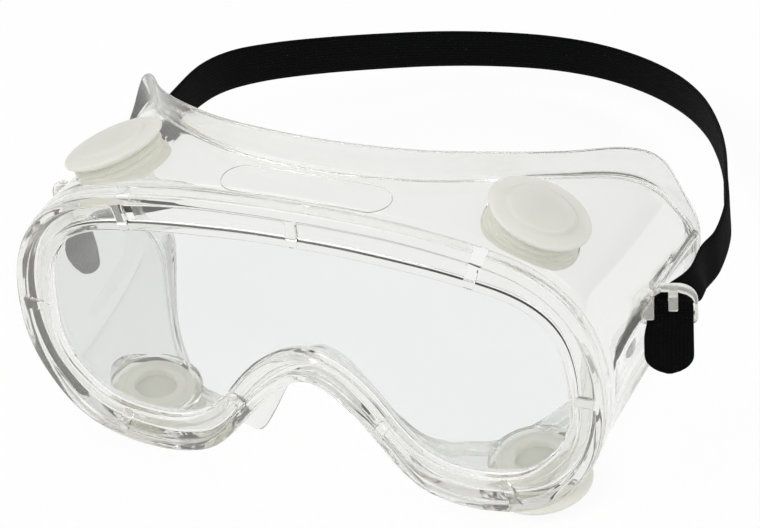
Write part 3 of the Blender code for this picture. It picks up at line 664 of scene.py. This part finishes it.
# Lug outlines. Plate and slot: (along, up). Hook and foot: (front, up).
LUG_PLATE = [(-8.2, -4.6), *arc(5.7, -2.8, 1.8, -90, 0, 8), *arc(2.4, 2.4, 5.1, 0, 90, 14),
             (-2.2, 7.6), (-8.2, 0.8)]
LUG_SLOT = [(-6.7, -1.6), (6.7, -1.6), (6.7, 2.2), (6.0, 3.7), (4.8, 4.8), (2.4, 5.7),
            (-1.8, 5.8), (-6.7, 2.0)]
LUG_HOOK = [(-1.9, 5.6), (-1.9, 7.2), (1.6, 8.2), (2.6, 7.6), (2.6, 2.2), (1.2, 2.2), (1.2, 6.2)]
LUG_FOOT = [(-1.9, 3.0), (-1.9, 4.4), (2.4, 2.6), (2.4, -0.7), (1.2, -0.7), (1.2, 1.5)]
FIN_REAR, FIN_FRONT = (79.5, 70.0, 2.2), (76.6, 39.4, 5.8)


def add_lugs(shell):
    """Slotted plate with a hook and a foot on each side, and a fin along the wall behind it."""
    for side in (-1, 1):
        centre = mirror_x(LUG_CENTRE, side)
        along, front = mirror_x(LUG_ALONG, side), mirror_x(LUG_FRONT, side)
        flat, edgewise = (along, UP, front), (front, UP, along)
        cut(shell, slab(LUG_PLATE, -2.8, -1.0, centre, flat, round_edges=0.4), "UNION")
        cut(shell, slab(LUG_SLOT, -6.0, 3.0, centre, flat), "DIFFERENCE")
        cut(shell, slab(LUG_HOOK, 0.1, 2.5, centre, edgewise, round_edges=0.3), "UNION")
        cut(shell, slab(LUG_FOOT, -6.4, -3.6, centre, edgewise, round_edges=0.3), "UNION")

        start = mirror_x(FIN_FRONT, side)
        span = mirror_x(FIN_REAR, side) - start
        run = span.normalized()
        outward = (Vector((side, 0, 0)) - run * run.x * side).normalized()
        fin = [(0.0, 0.0), (4.2, 0.0), (3.0, span.length), (0.0, span.length)]
        axes = (outward, run, outward.cross(run))
        cut(shell, slab(fin, -0.9, 0.9, start, axes, round_edges=0.3), "UNION")


def mark_faces(shell):
    """Contact material round the vent seats, lug material on the lugs."""
    for polygon in shell.data.polygons:
        centre = polygon.center / MM
        for name, origin, axis in VENTS:
            away = centre - origin
            height = away.dot(axis)
            radius = (away - axis * height).length
            in_hole = name.startswith("top") and abs(radius - BOSS_R - SEAT_EASE) < 0.12
            in_well = abs(radius - WELL_R) < 0.12 and height < 0.1 - BOSS_T
            if abs(polygon.normal.dot(axis)) < 0.2 and (in_hole or in_well):
                polygon.material_index = 1
        side = 1 if centre.x > 0 else -1
        away = centre - mirror_x(LUG_CENTRE, side)
        along, front = away.dot(mirror_x(LUG_ALONG, side)), away.dot(mirror_x(LUG_FRONT, side))
        in_box = -7.4 < along < 8.2 and -2.9 < front < 3.0 and -5.2 < away.z < 8.8
        if in_box and abs(centre.x) > 77.6:
            polygon.material_index = 2


def build_shell():
    shell = plain_shell()
    add_ribs(shell)
    add_pin_marks(shell)
    add_brow_outline(shell)
    cut_vent_seats(shell)
    add_lugs(shell)
    mark_faces(shell)
    soften(shell.data, 38)
    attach(shell, "frame")
    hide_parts("frame_body")


# ---- lens -----------------------------------------------------------------------------------
def build_lens():
    """Pane with a front step, so that a wider rim sits in the groove."""
    step = 0.4
    face, rim = [], []
    for row in stations(STEPS):
        _, hole, inward = band_of(row)
        face.append(hole + inward * FIT_GAP)
        rim.append(hole - inward * LENS_IN_GROOVE)
    inner = [p + (q - p).normalized() * (LENS_IN_GROOVE - REAR_LIP_INSET)
             for p, q in zip(rim, face)]
    levels = [(face, 0.0), (face, step), (rim, step), (rim, LENS_T), (inner, LENS_T)]
    verts = [p + Vector((0, depth, 0)) for ring, depth in levels for p in ring]
    count = len(rim)
    faces = end_caps(len(levels), count) + ring_faces(len(levels), count, closed=False)
    pane = mesh_object("lens_pane", verts, faces, PANE, smooth=30)
    pane.data.materials.append(CONTACT)
    for polygon in pane.data.polygons:
        if polygon.index >= 2 + count:      # past the caps and the front wall: in the groove
            polygon.material_index = 1
    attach(pane, "frame")
    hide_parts("lens")


# ---- vents ----------------------------------------------------------------------------------
TOP_COLLAR = (
    (11.2, -SEAT_T - 0.5, 0.3), (BOSS_R - SEAT_EASE, -BOSS_T, 0.3),
    (BOSS_R - SEAT_EASE, -0.9, 0.5), (11.9, -0.3, 0.4), (12.0, 0.55, 0.4), (11.3, 0.9, 0.2),
    (11.3, 1.15, 0.2), (12.1, 1.5, 0.4), (12.1, 2.2, 0.4), (11.3, 2.5, 0.3))
BOTTOM_COLLAR = (
    (VENT_FLANGE_R, -SEAT_T - FIT_GAP, 0.2), (VENT_NECK_R, -SEAT_T - FIT_GAP),
    (VENT_NECK_R, FIT_GAP), (11.4, FIT_GAP), (12.0, 0.8, 0.4), (12.0, 1.7, 0.4),
    (11.3, 2.2, 0.4))
STEM_RING = [(VENT_STEM_R + 0.15, 0.2), (VENT_STEM_R + 1.5, 0.2),
             (VENT_STEM_R + 1.5, 2.2), (VENT_STEM_R + 0.15, 2.2)]
SPOKE = [(VENT_STEM_R + 0.9, -0.8), (VENT_BORE_R + 1.0, -0.8),
         (VENT_BORE_R + 1.0, 0.8), (VENT_STEM_R + 0.9, 0.8)]
BUTTON = [
    (0, -1.6), (VENT_STEM_R - 0.2, -1.6, 0.4), (VENT_STEM_R, -1.0, 0.3), (VENT_STEM_R, 3.1, 0.4),
    (10.6, 3.1, 0.5), (11.9, 3.5, 0.5), (12.6, VENT_RIM_T - 0.9, 0.4),
    (VENT_RIM_R - 0.1, VENT_RIM_T - 0.55, 0.5), (VENT_RIM_R, VENT_RIM_T + 0.05, 0.35),
    (VENT_RIM_R - 0.5, VENT_RIM_T + 0.45, 0.5), (9.5, VENT_RIM_T + 0.75, 0.5),
    (8.7, VENT_RIM_T + 1.6, 0.55), (0, VENT_RIM_T + 1.6)]


def build_vent_base(name, origin, axis):
    """Turned seat with a stem ring on three spokes and a thin disc across its inner end."""
    collar = TOP_COLLAR if name.startswith("top") else BOTTOM_COLLAR
    profile = [
        (VENT_BORE_R, -SEAT_T - 2.6, 0.4), (7.9, -SEAT_T - 2.6, 0.7), (8.6, -SEAT_T - 1.9, 0.5),
        (VENT_FLANGE_R - 0.2, -SEAT_T - 1.7, 0.4), (VENT_FLANGE_R, -SEAT_T - 1.3, 0.3),
        *collar, (10.4, 2.55), (10.4, 2.8, 0.1), (VENT_BORE_R, 2.8, 0.3)]
    base = lathe(f"vent_seat_{name}", profile, origin, axis, material=BASE)
    turned_cut(base, STEM_RING, origin, axis, "UNION", seg=48)
    turn = frame_of(axis)
    for k in range(3):
        angle = 2 * math.pi * k / 3
        outward = turn @ Vector((math.cos(angle), math.sin(angle), 0))
        across = turn @ Vector((-math.sin(angle), math.cos(angle), 0))
        cut(base, slab(SPOKE, 0.4, 2.0, origin, (outward, across, axis)), "UNION")
    turned_cut(base, disc(VENT_BORE_R + 0.6, -2.3, -1.9), origin, axis, "UNION")
    soften(base.data, 45)
    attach(base, "frame")
    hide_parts(f"vent_base_{name}")


def build_vent_cap(name, origin, axis):
    cap = lathe(f"vent_button_{name}", BUTTON, origin, axis, material=CAP)
    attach(cap, f"cap_{name}")
    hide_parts(f"vent_cap_{name}")


# ---- strap ----------------------------------------------------------------------------------
STRAP_SPACING = 0.7         # between the rings of the mesh
STRAP_SPANS = 14            # mesh spans across half the width
STRAP_TIP, STRAP_TIP_MIN = 6.0, 0.12    # length of the rounded tip, least share of the width
CORD_HEIGHT = 0.022
# tail and threading through the lug: front, up, nick in the inner edge
TAIL_ROWS = ((0.0, -TAIL_LEN, 0.0), (0.0, -12.5, 0.0), (0.0, -7.5, 0.1), (0.0, -3.6, 0.75),
             (-0.25, -1.3, 0.75), (-1.0, -0.25, 0.4), (-1.9, 0.25, 0.2))


def lug_point(along, front, z):
    return LUG_CENTRE + LUG_ALONG * along + LUG_FRONT * front + UP * z


def threaded_end():
    """Edge point pairs from the +X tail's tip, through the lug, towards the loop."""
    half = STRAP_W / 2
    rows = [(lug_point(half, front, z), lug_point(nick - half, front, z))
            for front, z, nick in TAIL_ROWS]
    rows += [(lug_point(6.3, -3.6, 0.4), lug_point(-5.4, -3.6, 1.4)),
             (Vector((88.8, 49.0, -3.2)), Vector((81.6, 43.6, 4.2))),
             (Vector((88.0, 56.0, -5.4)), Vector((85.2, 51.6, 4.4)))]
    return rows


def band_rows():
    """Edge point pairs round the loop, lower edge first."""
    downward = Vector((0.0, 0.075, -1.0)).normalized()
    points = [Vector(p) for p in STRAP_LOOP]
    rows = []
    for i, point in enumerate(points):
        run = (points[min(i + 1, len(points) - 1)] - points[max(i - 1, 0)]).normalized()
        half = (downward - run * downward.dot(run)).normalized() * (STRAP_W / 2)
        if i < len(STRAP_LEAN):
            half.x += STRAP_LEAN[i] / 2
        rows.append((point + half, point - half))
    return rows


def strap_line():
    """Evenly spaced distances and edge point pairs from the +X tail's tip to the -X one's."""
    end = threaded_end()
    other_end = [(mirror_x(a, -1), mirror_x(b, -1)) for a, b in end[::-1]]
    flat = [(*a, *b) for a, b in end + band_rows() + other_end]
    count, fine = len(flat), []
    for i in range(count - 1):
        for k in range(40):
            fine.append(catmull(flat[max(i - 1, 0)], flat[i], flat[i + 1],
                                flat[min(i + 2, count - 1)], k / 40))
    fine.append(flat[-1])
    fine = np.array(fine)
    middle = (fine[:, :3] + fine[:, 3:]) / 2
    lengths = np.linalg.norm(np.diff(middle, axis=0), axis=1)
    run = np.concatenate([[0], np.cumsum(lengths)])
    at = np.linspace(0, run[-1], int(run[-1] / STRAP_SPACING) + 1)
    return at, np.stack([np.interp(at, run, fine[:, k]) for k in range(6)], axis=1)


def strap_ring(width):
    """Corded section: (share of the half width, height) points, width being the half width."""
    shares = [k / STRAP_SPANS for k in range(-STRAP_SPANS, STRAP_SPANS + 1)]
    ring = []
    for face_side, order in ((1, shares), (-1, shares[::-1])):
        for share in order:
            edge_fall = (1 - abs(share) ** 10) ** 0.5
            cord = CORD_HEIGHT * math.cos(2 * math.pi * share * width / CORD_PITCH)
            thick = (STRAP_T / 2 - 0.05 + cord) * max(edge_fall, 0.35)
            ring.append((share, face_side * thick))
    return ring


def build_strap():
    at, line = strap_line()
    count = len(line)
    verts, along, across = [], [], []
    for i, row in enumerate(line):
        lower, upper = Vector(row[:3]), Vector(row[3:])
        after, before = line[min(i + 1, count - 1)], line[max(i - 1, 0)]
        run = Vector(after[:3] + after[3:] - before[:3] - before[3:]).normalized()
        middle, half = (lower + upper) / 2, (lower - upper) / 2
        normal = run.cross(half).normalized()
        width = half.length
        from_tip = min(at[i], at[-1] - at[i])
        narrow = math.sqrt(1 - (1 - min(from_tip, STRAP_TIP) / STRAP_TIP) ** 2)
        narrow = max(narrow, STRAP_TIP_MIN)
        ring = strap_ring(width)
        for share, height in ring:
            verts.append(middle + half * share * narrow + normal * height)
            along.append(float(at[i]))
            across.append(float(share * width * narrow))
    faces = ring_faces(count, len(ring), closed=False) + end_caps(count, len(ring))
    strap = mesh_object("elastic_strap", verts, faces, ELASTIC, smooth=60)
    for key, values in (("along", along), ("across", across)):
        attribute = strap.data.attributes.new(key, "FLOAT", "POINT")
        attribute.data.foreach_set("value", np.array(values, np.float32))
    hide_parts("strap_band", "strap_tail_left", "strap_tail_right")
    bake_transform(strap)


# ---- stage ----------------------------------------------------------------------------------
def build_floor():
    """Pale floor just under the goggles, lit mostly by its own glow."""
    half = 3000.0
    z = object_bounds()[0].z * 1000 - 0.3
    material, tree, surface = new_material("pale_floor")
    tree.links.new(node(
        tree, "ShaderNodeBsdfPrincipled",
        Base_Color=(0.10, 0.10, 0.10, 1.0),
        Roughness=0.9,
        Specular_IOR_Level=0.0,
        Emission_Color=(1.0, 1.0, 1.0, 1.0),
        Emission_Strength=0.885), surface)
    corners = [(-half, -half, z), (half, -half, z), (half, half, z), (-half, half, z)]
    floor = mesh_object("stage_floor", corners, [(0, 1, 2, 3)], material)
    if floor.data.polygons[0].normal.z < 0:
        floor.data.flip_normals()


def build_world():
    """Soft white studio, with a greyer band at the horizon."""
    greys = ((0.0, 0.9), (0.488, 0.86), (0.50, 0.60), (0.525, 0.66), (0.56, 0.90), (1.0, 1.0))
    world = bpy.data.worlds.new("soft_studio")
    bpy.context.scene.world = world
    world.use_nodes = True
    tree = world.node_tree
    tree.nodes.clear()
    output = tree.nodes.new("ShaderNodeOutputWorld")
    direction = tree.nodes.new("ShaderNodeTexCoord").outputs["Generated"]
    split = node(tree, "ShaderNodeSeparateXYZ", Vector=direction).node
    height = math_node(tree, "MULTIPLY_ADD", split.outputs["Z"], 0.5, 0.5)
    sky = ramp(tree, height, [(position, (grey,) * 3) for position, grey in greys])
    light = node(tree, "ShaderNodeBackground", Color=sky, Strength=0.75)
    tree.links.new(light, output.inputs["Surface"])


def area_light(name, place, power):
    light = bpy.data.lights.new(name, "AREA")
    light.shape, light.size, light.energy = "SQUARE", 0.9, power
    obj = bpy.data.objects.new(name, light)
    obj.location = place
    aim = Vector((0, 0.05, 0)) - Vector(place)
    obj.rotation_euler = aim.to_track_quat("-Z", "Y").to_euler()
    bpy.context.scene.collection.objects.link(obj)


def build_camera():
    camera = bpy.data.cameras.new("view")
    obj = bpy.data.objects.new("view", camera)
    bpy.context.scene.collection.objects.link(obj)
    obj.location = (0.283794, -0.595290, 0.509099)
    obj.rotation_euler = [math.radians(a) for a in (53.53606, 3.96342, 20.78826)]
    camera.sensor_width, camera.lens = 36.0, 156.3157895
    camera.clip_start, camera.clip_end = 0.01, 50.0
    bpy.context.scene.camera = obj


def set_render():
    scene = bpy.context.scene
    scene.view_settings.view_transform = "Standard"
    scene.view_settings.look = "None"
    scene.cycles.max_bounces = 28
    scene.cycles.transmission_bounces = 28
    scene.cycles.transparent_max_bounces = 32
    scene.cycles.diffuse_bounces = 4
    scene.cycles.glossy_bounces = 6
    scene.cycles.sample_clamp_indirect = 6.0


build_shell()
build_lens()
for vent in VENTS:
    build_vent_base(*vent)
    build_vent_cap(*vent)
build_strap()
build_floor()
build_world()
area_light("soft_key", place=(-0.7, -0.5, 1.1), power=7.0)
area_light("soft_fill", place=(0.9, 0.3, 1.0), power=4.0)
build_camera()
set_render()
